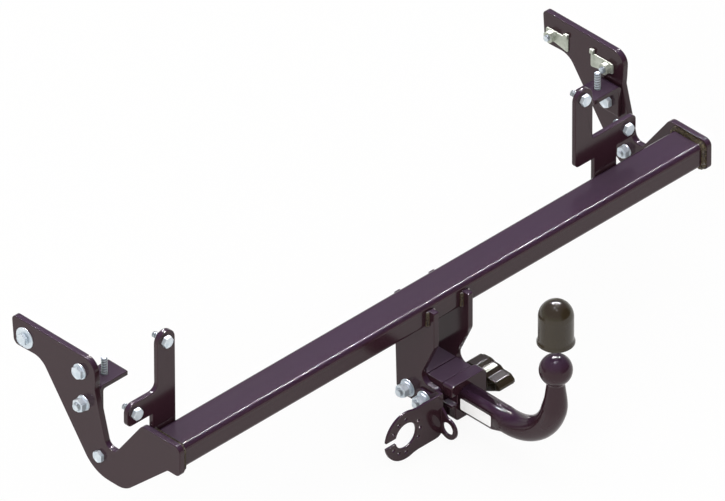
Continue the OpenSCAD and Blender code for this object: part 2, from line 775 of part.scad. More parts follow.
// Studs, washers and nuts on the left of the receiver
recv_seat_rear = -recv_half - hang_t - sheet_t;
recv_seat_front = -recv_half - hang_t;
module recv_stud(seat, y) {
  x1 = -recv_half + recv_bolt_in;
  x0 = seat - washer_t - recv_nut_h - thread_free;
  color(zinc) {
    cyl_x(x0 + 1, x1 - x0 - 1, y, recv_bolt_z, recv_bolt_d, fn_bolt);
    cyl_x(x0, 1 + e, y, recv_bolt_z, recv_bolt_d - 2, fn_bolt);
  }
}
module recv_washer(seat, y) {
  color(zinc) difference() {
    cyl_x(seat - washer_t, washer_t, y, recv_bolt_z, recv_washer_d, 48);
    cyl_x(seat - washer_t - 1, washer_t + 2, y, recv_bolt_z, recv_bolt_d + hole_clear);
  }
}
module recv_nut(seat, y) {
  color(zinc) difference() {
    union() {
      cyl_x(seat - washer_t - recv_nut_h, recv_nut_h, y, recv_bolt_z, recv_nut_d, 6);
      cyl_x(seat - washer_t - 3, 3, y, recv_bolt_z, recv_nut_d + 2.5);
    }
    cyl_x(seat - 60, 60, y, recv_bolt_z, recv_bolt_d + 0.2);
  }
}
module receiver_stud_front() { recv_stud(recv_seat_front, recv_bolt_front_y); }
module receiver_stud_rear() { recv_stud(recv_seat_rear, recv_bolt_rear_y); }
module receiver_washer_front() { recv_washer(recv_seat_front, recv_bolt_front_y); }
module receiver_washer_rear() { recv_washer(recv_seat_rear, recv_bolt_rear_y); }
module receiver_nut_front() { recv_nut(recv_seat_front, recv_bolt_front_y); }
module receiver_nut_rear() { recv_nut(recv_seat_rear, recv_bolt_rear_y); }
module receiver_bolt_front() {
  bolt_x(recv_half + hang_t, -1, recv_bolt_front_y, recv_bolt_z, m10, m10_corner,
    m10_head_h, hang_t + recv_bolt_in - 1);
}
module receiver_bolt_rear() {
  bolt_x(recv_half + hang_t, -1, recv_bolt_rear_y, recv_bolt_z, m10, m10_corner - 2,
    m10_head_h, hang_t + recv_bolt_in - 1);
}

// The socket's bracket is one bent sheet, drawn as its plate and its leg
// Plate with its hole circle and the cable slot
socket_x1 = -recv_half - hang_t;
module socket_plate() {
  ro = socket_out_r - 0.1;
  ring_x = arm_start - arm_blend;
  ring_z = sqrt(pow(socket_out_r, 2) - pow(ring_x, 2)) - 0.1;
  color(steel) difference() {
    union() {
      plate_xz(socket_rear_y, sheet_t) translate([socket_x, socket_z])
        circle(r = socket_out_r, $fn = 96);
      plate_xz(socket_rear_y, sheet_t) polygon(rpoly([
        [socket_x, socket_z + ro, 0], [socket_x + ring_x, socket_z + ring_z, 6],
        [socket_x + arm_start, socket_z + arm_half, 0], [socket_x1, socket_z + arm_half, 0],
        [socket_x1, socket_z - arm_half, plate_low_r], [socket_x + arm_start, socket_z - arm_half, 0],
        [socket_x + ring_x, socket_z - ring_z, 6], [socket_x, socket_z - ro, 0]]));
    }
    cyl_y(socket_rear_y - 1, sheet_t + 2, socket_x, socket_z, 2 * socket_hole_r, 96);
    for (a = [-30, 0, 30, 90, 120, 150, 210, 240, 270])
      cyl_y(socket_rear_y - 1, sheet_t + 2, socket_x + socket_pcr * cos(a),
        socket_z + socket_pcr * sin(a), socket_hole_d, 24);
    translate([socket_x - socket_out_r - 2, socket_rear_y - 1, socket_z - socket_slot / 2])
      cube([socket_out_r - 14, sheet_t + 2, socket_slot]);
    // The leg takes the last sheet thickness
    translate([socket_x1 - sheet_t, socket_rear_y - 1, socket_z - arm_half - 1])
      cube([sheet_t + 1, sheet_t + 2, 2 * arm_half + 2]);
  }
}
// Leg under the rear stud's washer, with the breakaway eye
module socket_leg() {
  color(steel) difference() {
    union() {
      plate_yz(socket_x1 - sheet_t, sheet_t) polygon(rpoly([
        [socket_rear_y, socket_z + arm_half, 0], [leg_neck_y, socket_z + arm_half, 4],
        [pad_rear_y, pad_top_z, 6], [pad_front_y, pad_top_z, pad_r],
        [pad_front_y, pad_low_z, pad_r], [pad_low_y, pad_low_z, 8],
        [leg_heel_y, socket_z - leg_heel, 0], [socket_rear_y, socket_z - leg_heel, 0]]));
      plate_yz(socket_x1 - sheet_t, sheet_t) union() {
        translate([eye_y, eye_z]) circle(r = eye_out_r, $fn = 64);
        polygon([[socket_rear_y + web_lap, web_top_z], [web_y, web_top_z - web_drop],
          [web_waist_y, web_waist_z], [web_eye_y, eye_z + web_eye_up],
          [eye_y + web_low_y, eye_z - eye_out_r + 0.6], [socket_rear_y + web_lap, web_low_z]]);
      }
    }
    cyl_x(socket_x1 - sheet_t - 1, sheet_t + 2, eye_y, eye_z, 2 * eye_r, fn_bore);
    cyl_x(socket_x1 - sheet_t - 1, sheet_t + 2, recv_bolt_rear_y, recv_bolt_z,
      recv_bolt_d + hole_clear, fn_bore);
  }
}

// Swan neck: spigot, flat-sided shank, bend, taper and ball
shoulder_y = collar_rear_y - run_clear;
// Cone along the bar's centreline, from a to b in Y, Z, a little longer at both ends
module neck_cone(a, b, ra, rb) {
  v = b - a;
  k = (rb - ra) / norm(v);
  translate([0, a[0], a[1]]) rotate([180 + atan2(v[0], -v[1]), 0, 0])
    translate([0, 0, -neck_lap])
    cylinder(h = norm(v) + 2 * neck_lap, r1 = ra - k * neck_lap, r2 = rb + k * neck_lap,
      $fn = 40);
}
neck_lap = 0.5;
neck_step = 0.45;
function on_bend(t) = [bend_r * (1 - cos(t)), bend_z - bend_r * sin(t)];
module swan_neck() {
  color(steel) difference() {
    union() {
      sphere(r = ball_r, $fn = 64);
      translate([0, 0, bend_z]) cylinder(h = -21 - bend_z, d1 = taper_d, d2 = neck_top_d,
        $fn = 40);
      neck_cone(on_bend(0), on_bend(taper_deg), taper_d / 2 - neck_step, bar_d / 2 - neck_step);
      translate([0, bend_r, bend_z]) rotate([90, 0, 90]) rotate([0, 0, 180 + taper_deg])
        rotate_extrude(angle = 90 - taper_deg, $fn = 72) translate([bend_r, 0])
        circle(d = bar_d, $fn = 40);
      // Round bar, its sides running out into the flats of the shank
      difference() {
        cyl_y(bend_r - 1, shank_rear_y - bend_r + 3, 0, neck_z, bar_d - 0.1, 40);
        for (s = [-1, 1]) translate([0, 0, neck_z - 30]) linear_extrude(height = 60)
          polygon([[s * bar_d / 2, shank_rear_y - shank_run], [s * shank_w / 2, shank_rear_y],
            [s * shank_w / 2, shank_rear_y + 3], [s * 40, shank_rear_y + 3],
            [s * 40, shank_rear_y - shank_run]]);
      }
      // Flat-sided shank, its corners running out into the bar
      intersection() {
        plate_xz(shank_rear_y - shank_run + 1, shoulder_y - shank_rear_y + shank_run - 1)
          polygon(rpoly([
          [-shank_w / 2, neck_z - shank_h / 2, shank_low_r],
          [shank_w / 2, neck_z - shank_h / 2, shank_low_r],
          [shank_w / 2, neck_z + shank_h / 2, shank_r],
          [-shank_w / 2, neck_z + shank_h / 2, shank_r]]));
        translate([0, shank_rear_y - shank_run, neck_z]) rotate([-90, 0, 0])
          cylinder(h = 120, r1 = bar_d / 2 - 0.6, r2 = bar_d / 2 - 0.6 + 120 * 0.25, $fn = 64);
      }
      cyl_y(shoulder_y - e, spigot_l - 3 + e, 0, neck_z, spigot_d, 64);
      translate([0, shoulder_y + spigot_l - 3, neck_z]) rotate([-90, 0, 0])
        cylinder(h = 3, d1 = spigot_d, d2 = spigot_d - 5, $fn = 64);
    }
    // Keyway for the spindle, open at the front end of the spigot
    translate([-30, wheel_y - 8, neck_z - 30])
      cube([60, 80, wheel_z + spindle_d / 2 + run_clear - neck_z + 30]);
  }
}

// Ball cap as lifted off above the ball
module ball_cap() {
  ro = cap_d / 2;
  ri = ro - cap_wall;
  color(plastic) translate([0, 0, cap_rim_z]) rotate_extrude($fn = 96)
    polygon(concat(
      [[cap_rim_d / 2 - 1.2, 0], [cap_rim_d / 2, 1.2], [cap_rim_d / 2, 3.5],
       [ro + 0.7, cap_flare - 3], [ro, cap_flare]],
      [for (a = [0:6:90]) [ro * cos(a), cap_body_l + ro * sin(a)]],
      [for (a = [90:-6:0]) [ri * cos(a), cap_body_l + ri * sin(a)]],
      [[ri, 0]]));
}

// Handwheel: two-lobed bar on a hub, turned about X
wheel_half = [[-35.3, 5.5, 4], [-27.1, 12, 5], [-10.6, 12.6, 3], [-4.6, 16.7, 3],
  [7.4, 17.6, 3], [15.9, 20.6, 6], [35.4, 19, 6], [36.6, 8, 4]];
wheel_pts = concat(wheel_half, [for (q = wheel_half) [-q[0], -q[1], q[2]]]);
module handwheel() {
  color(plastic) difference() {
    union() {
      translate([0, wheel_y, wheel_z]) plate_yz(wheel_x0, wheel_x1 - wheel_x0 - 4)
        polygon(rpoly(wheel_pts, 5));
      translate([0, wheel_y, wheel_z]) plate_yz(wheel_x1 - 4 - e, 4 + e)
        polygon(rpoly([for (q = wheel_pts) [q[0] * 0.94, q[1] * 0.92, q[2]]], 5));
      cyl_x(wheel_clear_x, wheel_x0 - wheel_clear_x + e, wheel_y, wheel_z, hub_d, fn_bore);
    }
    cyl_x(wheel_clear_x - 1, wheel_x1 - 9 - wheel_clear_x + 2, wheel_y, wheel_z, spindle_d,
      fn_bore);
    cyl_x(wheel_x1 - 9, 12, wheel_y, wheel_z, lock_d, fn_bore);
    translate([wheel_x0 + 4, wheel_y - insert_w / 2, wheel_z + insert_bed])
      cube([insert_l, insert_w, 20]);
  }
}
module locking_spindle() {
  color(zinc) {
    cyl_x(spindle_x0, wheel_x1 - 9 - spindle_x0, wheel_y, wheel_z, spindle_d, fn_bolt);
  }
}
module lock_cylinder() {
  color(zinc) difference() {
    cyl_x(wheel_x1 - 9, 9.6, wheel_y, wheel_z, lock_d, 48);
    translate([wheel_x1 - 4, wheel_y - 0.8, wheel_z - 4.5]) cube([6, 1.6, 9]);
  }
}
module lock_insert() {
  color(dull) difference() {
    translate([wheel_x0 + 4, wheel_y - insert_w / 2, wheel_z + insert_bed])
      cube([insert_l, insert_w, insert_top - insert_bed]);
    translate([wheel_x0 + 6, wheel_y - insert_w / 2 + 2, wheel_z + insert_top - 1.6])
      cube([insert_l - 4, 1.6, 4]);
  }
}

crossbeam();
side_plate_left();
side_plate_right();
angle_bracket_left();
angle_bracket_right();
bracket_stud_left();
bracket_stud_right();
chassis_bolt_front_left();
chassis_bolt_rear_left();
chassis_bolt_front_right();
chassis_bolt_rear_right();
chassis_washer_left();
chassis_washer_right();
nut_strip_front_left();
nut_strip_rear_left();
nut_strip_front_right();
nut_strip_rear_right();
bracket_bolt_left();
bracket_bolt_right();
bracket_nut_left();
bracket_nut_right();
lower_bolt_left();
lower_bolt_right();
lower_nut_left();
lower_nut_right();
upright_plate_left();
upright_plate_right();
upright_bolt_top_left();
upright_bolt_side_left();
upright_bolt_top_right();
upright_bolt_side_right();
hanger_plate_left();
hanger_plate_right();
spacer_block();
receiver_housing();
receiver_collar();
receiver_liner();
receiver_stud_front();
receiver_stud_rear();
receiver_washer_front();
receiver_washer_rear();
receiver_nut_front();
receiver_nut_rear();
receiver_bolt_front();
receiver_bolt_rear();
socket_plate();
socket_leg();
swan_neck();
ball_cap();
handwheel();
locking_spindle();
lock_cylinder();
lock_insert();
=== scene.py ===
"""Detachable towbar: finishes, fasteners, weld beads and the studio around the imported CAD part."""

import math
import random

import bmesh
import bpy
from mathutils import Matrix, Vector


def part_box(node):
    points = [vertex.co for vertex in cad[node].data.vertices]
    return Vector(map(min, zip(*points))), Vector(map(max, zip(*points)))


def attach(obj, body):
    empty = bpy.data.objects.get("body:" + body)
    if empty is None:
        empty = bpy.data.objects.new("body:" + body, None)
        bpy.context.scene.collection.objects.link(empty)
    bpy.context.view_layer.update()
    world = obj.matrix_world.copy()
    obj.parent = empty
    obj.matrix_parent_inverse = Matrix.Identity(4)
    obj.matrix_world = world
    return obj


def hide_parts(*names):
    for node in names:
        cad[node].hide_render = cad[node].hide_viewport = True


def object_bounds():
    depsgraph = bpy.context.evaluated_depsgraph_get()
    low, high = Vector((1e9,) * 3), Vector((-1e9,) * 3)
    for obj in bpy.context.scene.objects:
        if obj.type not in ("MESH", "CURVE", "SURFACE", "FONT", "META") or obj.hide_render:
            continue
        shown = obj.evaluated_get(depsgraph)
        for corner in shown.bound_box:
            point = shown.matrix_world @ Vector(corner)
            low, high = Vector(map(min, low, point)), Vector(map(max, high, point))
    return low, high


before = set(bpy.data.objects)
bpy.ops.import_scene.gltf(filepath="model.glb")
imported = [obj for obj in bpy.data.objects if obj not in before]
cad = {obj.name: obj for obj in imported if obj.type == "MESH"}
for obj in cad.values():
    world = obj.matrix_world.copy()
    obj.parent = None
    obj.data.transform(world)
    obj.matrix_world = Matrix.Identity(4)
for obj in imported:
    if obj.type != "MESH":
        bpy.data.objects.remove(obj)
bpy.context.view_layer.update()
MM = 0.001
random.seed(12)


# Camera: almost parallel, 35.7 degrees above the horizon, its picture plane 44.6 degrees off the crossbeam
def place_camera():
    right = Vector((0.711533, -0.702650, -0.002041))
    up = Vector((0.411359, 0.414201, 0.811925))
    back = Vector((-0.569653, -0.578551, 0.583759))
    lens, film = 1140, 36
    seen_width, shift_right, shift_up = 1.04913, -0.27974, 0.17220
    distance = seen_width * lens / film
    looks_at = right * shift_right + up * shift_up
    data = bpy.data.cameras.new("studio_camera")
    data.lens, data.sensor_width = lens, film
    data.clip_start, data.clip_end = 1, 100
    camera = bpy.data.objects.new("studio_camera", data)
    bpy.context.scene.collection.objects.link(camera)
    camera.matrix_world = Matrix.Translation(looks_at + back * distance) @ Matrix(
        (right, up, back)
    ).transposed().to_4x4()
    bpy.context.scene.camera = camera


place_camera()


# Finishes
class Flow:
    """A socket in a node tree. Python arithmetic on it adds Math nodes."""

    def __init__(self, shading, socket):
        self.shading, self.socket = shading, socket

    def worked_out(self, operation, other):
        return self.shading.node("ShaderNodeMath", {"operation": operation}, {0: self, 1: other})

    def __add__(self, other):
        return self.worked_out("ADD", other)

    def __mul__(self, other):
        return self.worked_out("MULTIPLY", other)

    __radd__ = __add__
    __rmul__ = __mul__


class Shading:
    """The node tree of a material or of the world."""

    def __init__(self, owner):
        owner.use_nodes = True
        self.tree = owner.node_tree
        self.tree.nodes.clear()

    def node(self, kind, settings=None, values=None, output=0):
        """One node: its settings first, then the values or links of its sockets."""
        made = self.tree.nodes.new(kind)
        for key, value in (settings or {}).items():
            setattr(made, key, value)
        for socket, value in (values or {}).items():
            self.join(value, made.inputs[socket])
        return Flow(self, made.outputs[output])

    def join(self, value, socket):
        if isinstance(value, Flow):
            self.tree.links.new(value.socket, socket)
        else:
            socket.default_value = value

    def ends_in(self, kind, surface):
        self.join(surface, self.tree.nodes.new(kind).inputs[0])


class Finish(Shading):
    """One material: a Principled shader and the nodes that feed it."""

    def __init__(self, name, **uniform):
        self.material = bpy.data.materials.new(name)
        super().__init__(self.material)
        self.shader = self.tree.nodes.new("ShaderNodeBsdfPrincipled")
        self.ends_in("ShaderNodeOutputMaterial", Flow(self, self.shader.outputs[0]))
        for socket, value in uniform.items():
            self.shader.inputs[socket.replace("_", " ")].default_value = value

    def place(self):
        return self.node("ShaderNodeTexCoord", output=3)

    def noise(self, scale, detail=2, rough=0.5):
        return self.node(
            "ShaderNodeTexNoise",
            values={"Vector": self.place(), "Scale": scale, "Detail": detail, "Roughness": rough},
        )

    def between(self, factor, low, high):
        """A number that runs from low to high with the factor."""
        return factor * (high - low) + low

    def blend(self, factor, first, second):
        return self.node(
            "ShaderNodeMix",
            {"data_type": "RGBA"},
            {0: factor, 6: (*first, 1) if isinstance(first, tuple) else first,
             7: (*second, 1) if isinstance(second, tuple) else second},
            output=2,
        )

    def span(self, value, low, high):
        """Nought below low, one above high."""
        return self.node(
            "ShaderNodeMapRange", {"clamp": True}, {0: value, 1: low, 2: high, 3: 0.0, 4: 1.0}
        )

    def relief(self, height, strength, distance):
        return self.node(
            "ShaderNodeBump", values={"Strength": strength, "Distance": distance, "Height": height}
        )

    def feeds(self, **sockets):
        for socket, value in sockets.items():
            self.join(value, self.shader.inputs[socket.replace("_", " ")])
        return self.material


def powder_coat():
    """Dark powder coat on the steel: brown on the sides, with plum on top painted in as light from above, and
    a faint orange peel.
    """
    coat = Finish("plum_powder_coat", IOR=1.5, Specular_IOR_Level=0.32)
    cloud = coat.noise(6, 3)
    peel = coat.noise(520, 2, 0.4)
    normal = coat.node("ShaderNodeNewGeometry", output="Normal")
    up_facing_painted_light = coat.node("ShaderNodeSeparateXYZ", values={0: normal}, output="Z")
    # Painted light: faces that turn up are painted lighter and plum, as if lit from above.
    tone = coat.blend(coat.span(up_facing_painted_light, 0.25, 1.0), (0.026, 0.0095, 0.014), (0.054, 0.027, 0.058))
    tone = coat.blend(coat.span(cloud, 0.3, 0.7) * 0.25, tone, (0.026, 0.012, 0.017))
    rough = coat.between(coat.span(cloud, 0.35, 0.65), 0.135, 0.145)
    return coat.feeds(Base_Color=tone, Roughness=rough, Normal=coat.relief(peel, 0.012, 0.0002))


def weld_coat():
    """The coat over a weld bead, rougher and speckled by spatter."""
    coat = Finish("plum_coat_on_weld", IOR=1.5)
    spatter = coat.noise(480, 3, 0.6)
    tone = coat.blend(coat.span(spatter, 0.45, 0.62), (0.012, 0.007, 0.005), (0.12, 0.095, 0.045))
    return coat.feeds(Base_Color=tone, Roughness=coat.between(spatter, 0.22, 0.4),
                      Normal=coat.relief(spatter, 0.35, 0.0006))


def bright_zinc():
    """Bluish bright zinc plate on bolts, nuts and washers, with painted shade nearly black in the thread
    roots.
    """
    zinc = Finish("bright_zinc_plate", Metallic=0.5)
    drift = zinc.noise(90, 3)
    spangle = zinc.node("ShaderNodeTexVoronoi", values={"Vector": zinc.place(), "Scale": 650}, output=1)
    grey = zinc.node("ShaderNodeRGBToBW", values={0: spangle})
    tone = zinc.blend(zinc.span(drift, 0.35, 0.65), (0.52, 0.61, 0.68), (0.68, 0.75, 0.80))
    tone = zinc.blend(grey * 0.25, tone, (0.80, 0.84, 0.86))
    # Painted shade: the thread roots are painted nearly black, where shade falls between the crests.
    thread_root_painted_shade = zinc.node("ShaderNodeAttribute", {"attribute_name": "groove"}, output="Fac")
    tone = zinc.blend(thread_root_painted_shade * 0.9, tone, (0.05, 0.06, 0.06))
    rough = zinc.between(drift, 0.24, 0.44)
    return zinc.feeds(Base_Color=tone, Roughness=rough, Normal=zinc.relief(drift + grey * 0.3, 0.12, 0.0003))


def grey_zinc():
    """Duller grey-green zinc on the pressed nut strips and the lock's insert."""
    zinc = Finish("grey_zinc_plate", Metallic=0.55)
    drift = zinc.noise(70, 4, 0.6)
    fine = zinc.noise(420, 2)
    tone = zinc.blend(zinc.span(drift, 0.3, 0.7), (0.33, 0.36, 0.30), (0.56, 0.59, 0.52))
    return zinc.feeds(Base_Color=tone, Roughness=zinc.between(fine, 0.34, 0.55),
                      Normal=zinc.relief(fine, 0.2, 0.0003))


def moulded_plastic():
    """Olive-black moulded plastic of the cap and the knob, with a fine spark-eroded grain."""
    plastic = Finish("olive_black_plastic", IOR=1.48)
    grain = plastic.noise(1400, 2)
    cloud = plastic.noise(16, 2)
    tone = plastic.blend(plastic.span(cloud, 0.3, 0.7), (0.024, 0.017, 0.009), (0.032, 0.024, 0.013))
    return plastic.feeds(Base_Color=tone, Roughness=plastic.between(grain, 0.13, 0.18),
                         Normal=plastic.relief(grain, 0.03, 0.0002))


def blank_film():
    """Plain white film of the blank plate on the neck."""
    film = Finish("white_blank_film", IOR=1.45)
    fleck = film.noise(260, 2)
    tone = film.blend(film.span(fleck, 0.4, 0.7), (0.95, 0.95, 0.95), (0.98, 0.98, 0.98))
    return film.feeds(Base_Color=tone, Roughness=film.between(fleck, 0.35, 0.5))


COAT, WELD, ZINC, GREY, PLASTIC, FILM = (
    powder_coat(), weld_coat(), bright_zinc(), grey_zinc(), moulded_plastic(), blank_film(),
)


# Working with Blender's modelling operators
def only(*pieces):
    bpy.ops.object.select_all(action="DESELECT")
    for piece in pieces:
        piece.select_set(True)
    bpy.context.view_layer.objects.active = pieces[0]


def start(primitive, **options):
    """Adds a primitive on its own and returns its object."""
    bpy.ops.object.select_all(action="DESELECT")
    getattr(bpy.ops.mesh, f"primitive_{primitive}_add")(**options)
    return bpy.context.view_layer.objects.active


class Editing:
    """Edit mode on one piece, with nothing selected at the start."""

    def __init__(self, piece, kind="FACE"):
        self.piece, self.kind = piece, kind

    def __enter__(self):
        only(self.piece)
        bpy.ops.object.mode_set(mode="EDIT")
        bpy.ops.mesh.select_mode(type=self.kind)
        bpy.ops.mesh.select_all(action="DESELECT")
        return self

    def __exit__(self, *_):
        bpy.ops.object.mode_set(mode="OBJECT")

    def pick(self, wanted):
        """Selects the faces, edges or corners that pass the test, and nothing else."""
        bpy.ops.mesh.select_all(action="DESELECT")
        mesh = bmesh.from_edit_mesh(self.piece.data)
        kinds = {"FACE": mesh.faces, "EDGE": mesh.edges, "VERT": mesh.verts}[self.kind]
        for part in kinds:
            if wanted(part):
                part.select_set(True)
        mesh.select_flush_mode()
        bmesh.update_edit_mesh(self.piece.data)


def apply(piece, kind, **settings):
    """Adds a modifier, sets it and applies it."""
    only(piece)
    modifier = piece.modifiers.new(kind.lower(), kind)
    for key, value in settings.items():
        setattr(modifier, key, value)
    bpy.ops.object.modifier_apply(modifier=modifier.name)


def carve(piece, tool, operation="DIFFERENCE"):
    apply(piece, "BOOLEAN", object=tool, operation=operation, solver="EXACT")
    bpy.data.objects.remove(tool)


def settle(piece):
    """Puts the piece's place into its mesh."""
    only(piece)
    bpy.ops.object.transform_apply(location=True, rotation=True, scale=True)


def merge(first, *others):
    only(first, *others)
    bpy.ops.object.join()
    return first


def smooth(piece, angle, weighted=True):
    only(piece)
    bpy.ops.object.shade_smooth_by_angle(angle=math.radians(angle))
    if weighted:
        apply(piece, "WEIGHTED_NORMAL", mode="FACE_AREA", weight=60, keep_sharp=True)


def dress(piece, name, finish, body, *stands_for):
    """Names a finished piece, gives it its finish and hangs it on its body."""
    piece.name = piece.data.name = name
    piece.data.materials.clear()
    piece.data.materials.append(finish)
    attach(piece, body)
    if stands_for:
        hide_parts(*stands_for)


def twin(piece):
    """A copy with its own mesh."""
    copy = piece.copy()
    copy.data = piece.data.copy()
    bpy.context.scene.collection.objects.link(copy)
    return copy


def stand(piece, foot, along, corner):
    """Turns a piece modelled up +Z so that it runs along a direction from its foot."""
    along, corner = Vector(along), Vector(corner)
    turn = Matrix((corner, along.cross(corner), along)).transposed().to_4x4()
    piece.matrix_world = Matrix.Translation(foot) @ turn
    settle(piece)


def merge_doubles(piece):
    """Makes one corner of corners that lie within a hundredth of a millimetre."""
    with Editing(piece, "VERT"):
        bpy.ops.mesh.select_all(action="SELECT")
        bpy.ops.mesh.remove_doubles(threshold=0.01 * MM)


def swept(name, stations, thickness, resolution, closed=False):
    """A round bar through stations, each a point and a share of the thickness."""
    curve = bpy.data.curves.new(name, "CURVE")
    curve.dimensions = "3D"
    curve.bevel_depth, curve.bevel_resolution, curve.use_fill_caps = thickness, resolution, not closed
    line = curve.splines.new("POLY")
    line.points.add(len(stations) - 1)
    line.use_cyclic_u = closed
    for spot, (place, share) in zip(line.points, stations):
        spot.co, spot.radius = (*place, 1), share
    bar = bpy.data.objects.new(name, curve)
    bpy.context.scene.collection.objects.link(bar)
    only(bar)
    bpy.ops.object.convert(target="MESH")
    return bpy.context.view_layer.objects.active


# Rigid CAD pieces with their edges broken, so that they catch the light as cut plate does
def joined(node):
    """A copy of a CAD piece with its doubled corners merged."""
    piece = bpy.data.objects.new(node, cad[node].data.copy())
    bpy.context.scene.collection.objects.link(piece)
    merge_doubles(piece)
    return piece


def broken_edges(nodes, name, width, finish, body="frame", angle=28, segments=2, piece=None):
    piece = piece or joined(nodes[0])
    for other in nodes[1:]:
        carve(piece, joined(other), "UNION")
    merge_doubles(piece)
    with Editing(piece, "VERT"):
        bpy.ops.mesh.select_all(action="SELECT")
        bpy.ops.mesh.dissolve_limited(angle_limit=math.radians(0.3), use_dissolve_boundaries=False)
    apply(piece, "BEVEL", width=width * MM, segments=segments, limit_method="ANGLE",
          angle_limit=math.radians(angle), use_clamp_overlap=False, miter_outer="MITER_ARC")
    smooth(piece, angle=40)
    dress(piece, name, finish, body, *nodes)


def trimmed_handwheel():
    """The knob with its rear lobe cut away below and a pocket in that lobe's inner end."""
    cut_back, cut_up, cut_facing = 36 * MM, 0.5 * MM, (0, -0.451, -0.893)
    pocket_x, pocket_back, pocket_up, pocket_radius, pocket_length = 56 * MM, 21 * MM, 2 * MM, 9 * MM, 18 * MM
    low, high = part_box("handwheel")
    middle = (low + high) / 2
    knob = joined("handwheel")
    with Editing(knob, "VERT"):
        bpy.ops.mesh.select_all(action="SELECT")
        bpy.ops.mesh.bisect(plane_co=(0, middle.y - cut_back, middle.z + cut_up),
                            plane_no=cut_facing, use_fill=True, clear_outer=True)
    pocket = start("cylinder", vertices=3, radius=pocket_radius, depth=pocket_length,
                   location=(pocket_x, middle.y - pocket_back, middle.z + pocket_up),
                   rotation=(0, math.pi / 2, 0))
    settle(pocket)
    carve(knob, pocket)
    return knob


PLATES = {
    "crossbeam": 0.4, "side_plate_left": 0.9, "side_plate_right": 0.9, "angle_bracket_left": 0.8,
    "angle_bracket_right": 0.8, "upright_plate_left": 0.8, "upright_plate_right": 0.8,
    "hanger_plate_left": 0.9, "hanger_plate_right": 0.9, "spacer_block": 0.7, "receiver_housing": 0.7,
    "receiver_collar": 0.9,
}
for node, width in PLATES.items():
    broken_edges([node], f"coated_{node}", width, COAT)
broken_edges(["socket_plate", "socket_leg"], "coated_socket_bracket", 0.5, COAT)
for node in ("nut_strip_front_left", "nut_strip_rear_left", "nut_strip_front_right", "nut_strip_rear_right"):
    broken_edges([node], f"pressed_{node}", 0.35, GREY)
broken_edges(["handwheel"], "moulded_handwheel", 1.2, PLASTIC, "wheel", 50, 4, trimmed_handwheel())
broken_edges(["ball_cap"], "moulded_ball_cap", 0.25, PLASTIC, "cap", 50, 2)
broken_edges(["lock_insert"], "plated_lock_insert", 0.3, GREY, "wheel")


# Swan neck: one smooth forging from the ball to the shank. Millimetres from the ball's centre
BALL_RADIUS, STEM_TOP, THROAT, BEND_TOP = 25, -16, -21, -48.2
FLARE, FLARE_FOOT, FLARE_RUN, FLARE_MOST = 3.2, -26, 7, 18.5
THROAT_RADIUS, STEM_GAIN = 13, 3.6
NECK_BEND, BEND_START_RADIUS, TAPER = 93.3, 16.6, 0.149
EASE_FROM, EASE_TO, EASE_RADIUS = 12, 27, 18.39
SHANK_RADIUS, SHANK_START, SHANK_LAP = 19.47, 94, 2
STEM_STEPS, BEND_STEPS = 31, 90


def neck_stations():
    """Points down the forging's middle line, each with its radius."""
    stations = []
    for i in range(STEM_STEPS):
        z = STEM_TOP + (BEND_TOP - STEM_TOP) * i / STEM_STEPS
        spread = FLARE * (max(0, z - FLARE_FOOT) / FLARE_RUN) ** 2
        cone = THROAT_RADIUS + (THROAT - z) * STEM_GAIN / (THROAT - BEND_TOP)
        stations.append((0, z, min(FLARE_MOST, cone + spread)))
    for i in range(BEND_STEPS + 1):
        turn = math.radians(i)
        along = NECK_BEND * turn
        radius = BEND_START_RADIUS + TAPER * along
        if along > EASE_FROM:
            eased = min(along, EASE_TO) - EASE_FROM
            radius = EASE_RADIUS + TAPER * eased - TAPER / (2 * (EASE_TO - EASE_FROM)) * eased ** 2
        stations.append((NECK_BEND * (1 - math.cos(turn)), BEND_TOP - NECK_BEND * math.sin(turn),
                         min(radius, SHANK_RADIUS)))
    return stations + [(SHANK_START + SHANK_LAP, BEND_TOP - NECK_BEND, SHANK_RADIUS)]


def forged_neck():
    stations = [((0, y * MM, z * MM), radius * MM) for y, z, radius in neck_stations()]
    bend = swept("neck_line", stations, 1, 17)
    shank = joined("swan_neck")
    kept = 400 * MM
    carve(shank, start("cube", size=kept, location=(0, SHANK_START * MM + kept / 2, -140 * MM)), "INTERSECT")
    carve(shank, bend, "UNION")
    carve(shank, start("uv_sphere", segments=96, ring_count=64, radius=BALL_RADIUS * MM), "UNION")
    merge_doubles(shank)
    smooth(shank, 25, False)
    dress(shank, "forged_swan_neck", COAT, "neck", "swan_neck")


forged_neck()


# Fasteners. A tip is the chamfered end of a bolt or stud
TIP, TIP_SHARE = 1 * MM, 0.78


def hexagon(corner, height, foot=0.0):
    """A hexagon up +Z with a corner towards +X and its top corners turned down to a cone."""
    cone_share, cone_slope = 0.93, 0.55
    flats = corner * math.cos(math.pi / 6) / 2
    block = start("cylinder", vertices=6, radius=corner / 2, depth=height, location=(0, 0, foot + height / 2))
    if min(abs(v.co.y) for v in block.data.vertices) > corner * 0.01:
        block.rotation_euler.z = math.pi / 6
    settle(block)
    low, top = flats * cone_share, foot + height
    reach = height + 2 * MM
    cone = start("cone", vertices=48, radius1=low + reach / cone_slope, radius2=low, depth=reach,
                 location=(0, 0, top - reach / 2))
    carve(block, cone, "INTERSECT")
    return block


